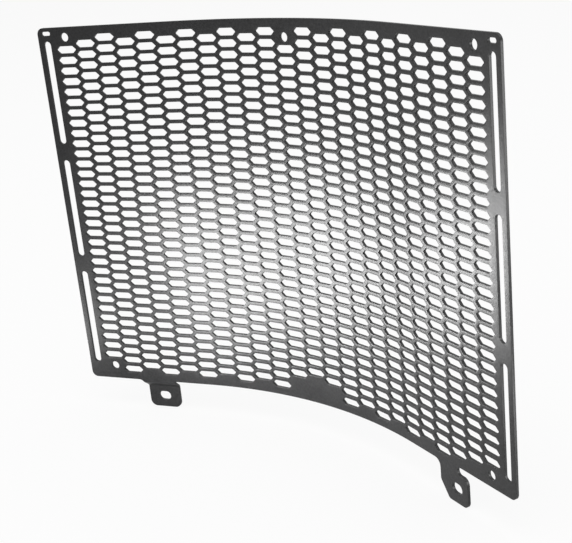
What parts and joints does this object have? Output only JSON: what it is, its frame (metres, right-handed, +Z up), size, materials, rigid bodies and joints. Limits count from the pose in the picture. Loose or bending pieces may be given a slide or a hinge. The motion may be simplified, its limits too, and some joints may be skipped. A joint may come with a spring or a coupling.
{
  "type": "motorcycle radiator guard",
  "caption": "Guard of cut and bent sheet metal for a motorcycle radiator, with an open grille of long hexagons, slotted sides and bolt tabs on its lower edge.",
  "frame": {"origin": "Under the middle of the part's box, level with the lower ends of the bolt tabs.", "axes": "+X to the right as seen from the front, +Y to the back, towards the radiator, +Z up."},
  "size_m": [0.3334, 0.0456, 0.2594],
  "materials": {
    "powder_coat": "satin, finely textured"
  },
  "bodies": {
    "root": {"guard_panel": "powder_coat"}
  },
  "joints": []
}
